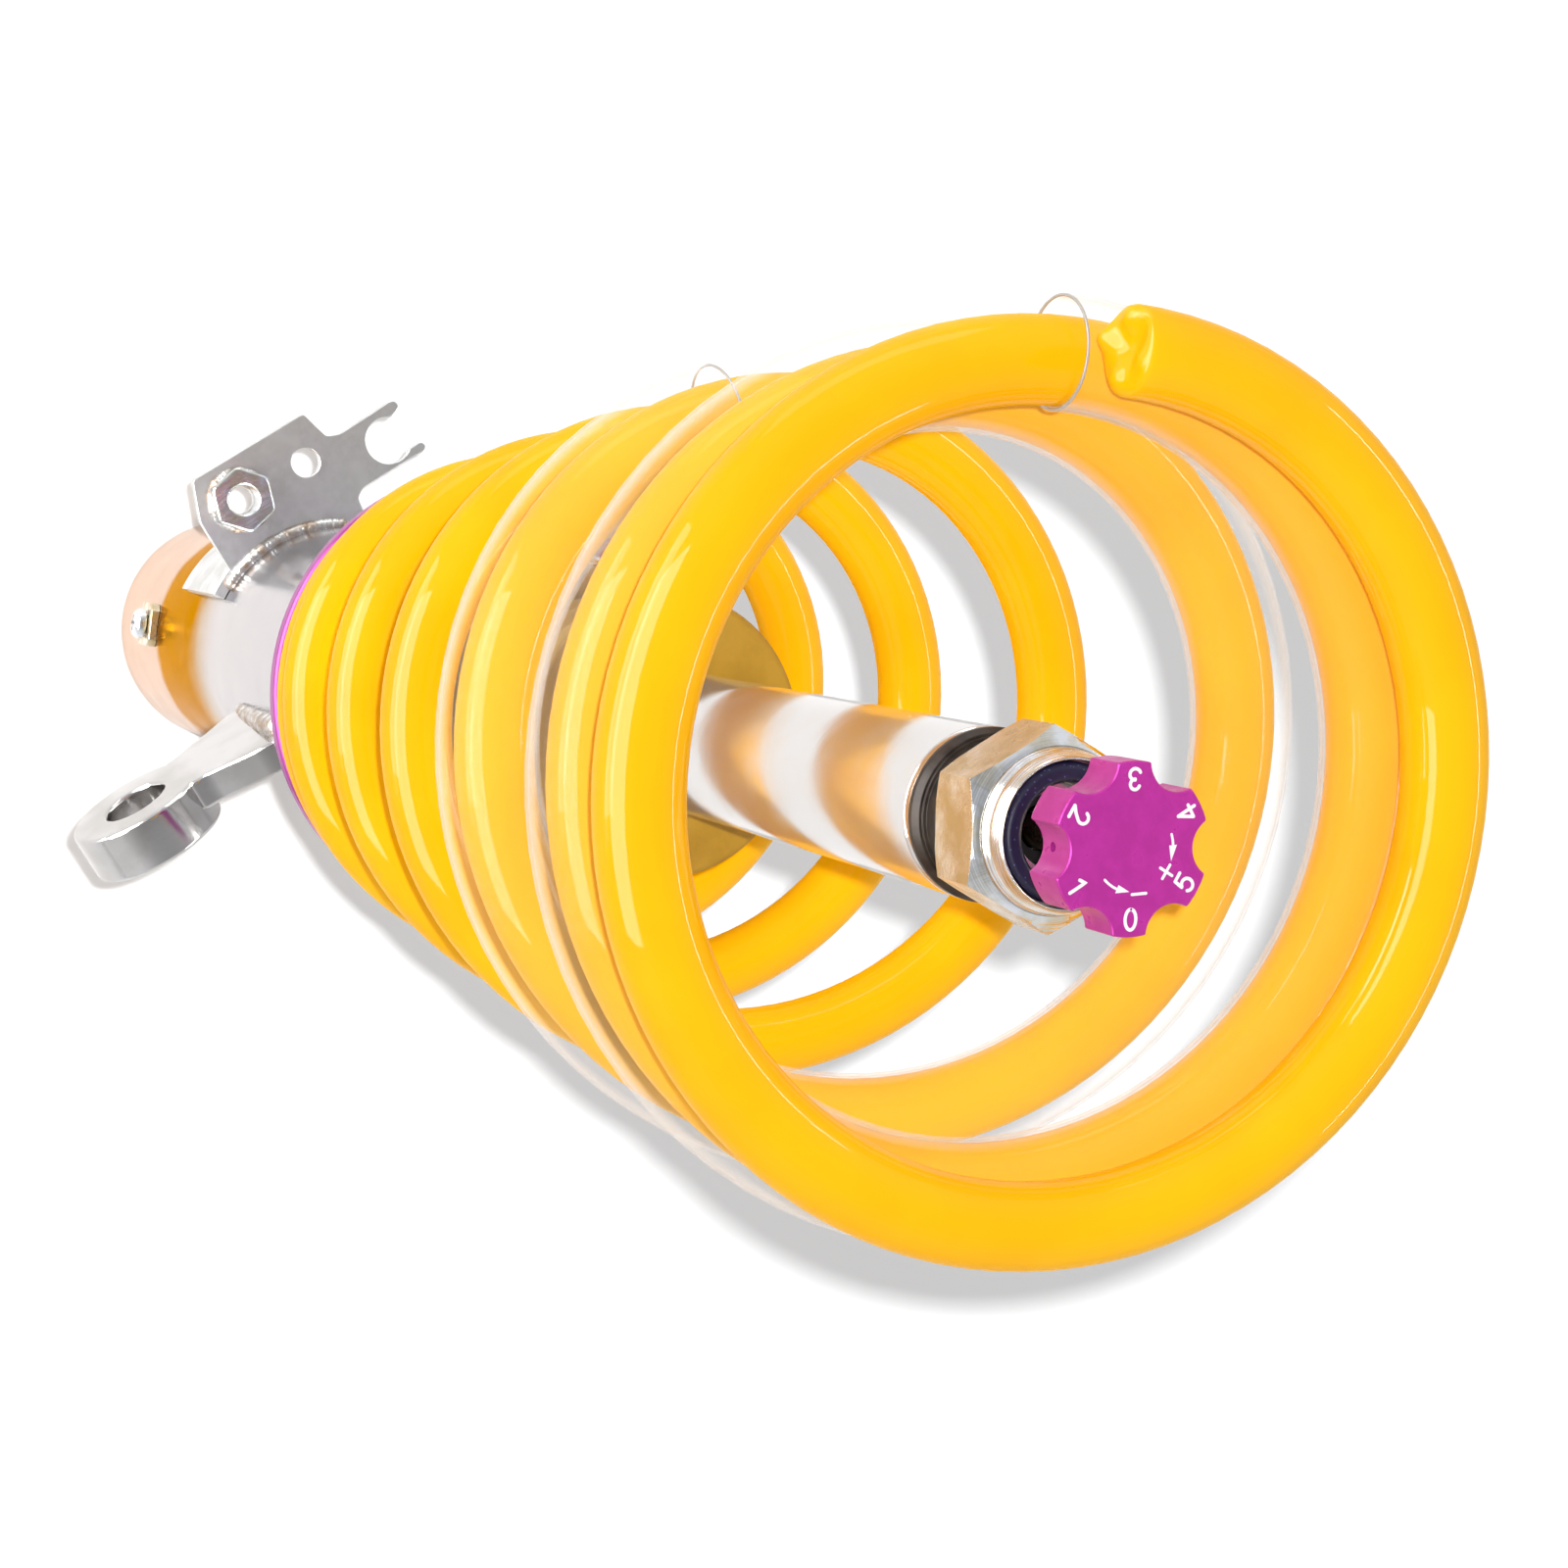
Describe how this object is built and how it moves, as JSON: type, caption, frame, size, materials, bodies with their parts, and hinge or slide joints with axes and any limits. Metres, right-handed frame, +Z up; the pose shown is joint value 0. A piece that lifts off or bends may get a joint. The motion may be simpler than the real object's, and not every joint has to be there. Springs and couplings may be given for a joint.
{
  "type": "coilover strut",
  "caption": "Height-adjustable damper strut with a conical coil spring, threaded spring perch, welded drop-link ear and hose bracket, and a rebound dial on the rod tip.",
  "frame": {"origin": "middle of the strut tube's flat bottom face", "axes": "+Z up the strut axis to the adjuster knob, -X towards the drop-link ear, +Y towards the hose bracket plate"},
  "size_m": [0.137, 0.115, 0.5032],
  "materials": {
    "coat": "glossy yellow powder coat",
    "purple": "satin violet anodised",
    "steel": "polished stainless",
    "zinc": "bright zinc plate",
    "chrome": "hard chrome",
    "black": "black oxide",
    "nylon": "indigo nylon",
    "foam": "mustard microcellular foam",
    "clear": "clear soft plastic",
    "rubber": "black sealing rubber",
    "bronze": "sintered bronze",
    "alloy": "machined alloy"
  },
  "bodies": {
    "strut": {"base_cap": "steel", "strut_tube": "steel", "lower_jacket": "steel", "thread_sleeve": "steel", "base_valve": "alloy", "base_valve_shims": "zinc", "base_valve_bolt": "zinc", "inner_cylinder": "steel", "rod_guide": "alloy", "guide_bush": "bronze", "oil_seal": "rubber", "gland_nut": "steel", "rod_wiper": "rubber", "drop_link_ear": "steel", "hose_bracket": "zinc", "bracket_weld_nut": "zinc", "cable_tab": "zinc", "cable_tab_screw": "zinc"},
    "lock_ring": {"adjuster_ring": "alloy", "ring_lock_screw": "black"},
    "perch": {"spring_perch": "purple", "coil_spring": "coat", "clear_sleeve": "clear"},
    "stop": {"bump_stop": "foam"},
    "rod": {"piston_rod": "chrome", "piston": "alloy", "piston_band": "bronze", "rebound_shims": "zinc", "bump_shims": "zinc", "piston_nut": "zinc", "rebound_bumper": "rubber", "top_washer": "black", "rod_nut": "zinc", "nylon_insert": "nylon", "shaft_seal": "rubber"},
    "knob": {"adjuster_knob": "purple", "knob_grub_screw": "black", "adjuster_shaft": "zinc"}
  },
  "joints": [
    {"name": "rod_stroke", "type": "slide", "parent": "strut", "child": "rod", "axis": [0, 0, 1], "range_m": [-0.085, 0], "stiffness_N_per_m": 900, "springref_m": 0.15, "deforming": ["coil_spring", "clear_sleeve"]},
    {"name": "rebound_dial", "type": "hinge", "parent": "rod", "child": "knob", "pos_m": [0, 0, 0.5], "axis": [0, 0, 1], "range_deg": [-300, 0]},
    {"name": "perch_height", "type": "slide", "parent": "strut", "child": "perch", "axis": [0, 0, 1], "range_m": [-0.008, 0.02]},
    {"name": "lock_ring_height", "type": "slide", "parent": "strut", "child": "lock_ring", "axis": [0, 0, 1], "range_m": [-0.008, 0.02]},
    {"name": "stop_slide", "type": "slide", "parent": "strut", "child": "stop", "axis": [0, 0, 1], "range_m": [0, 0.015]}
  ],
  "couplings": [
    {"joint": "lock_ring_height", "follows": "perch_height", "ratio": 1}
  ]
}
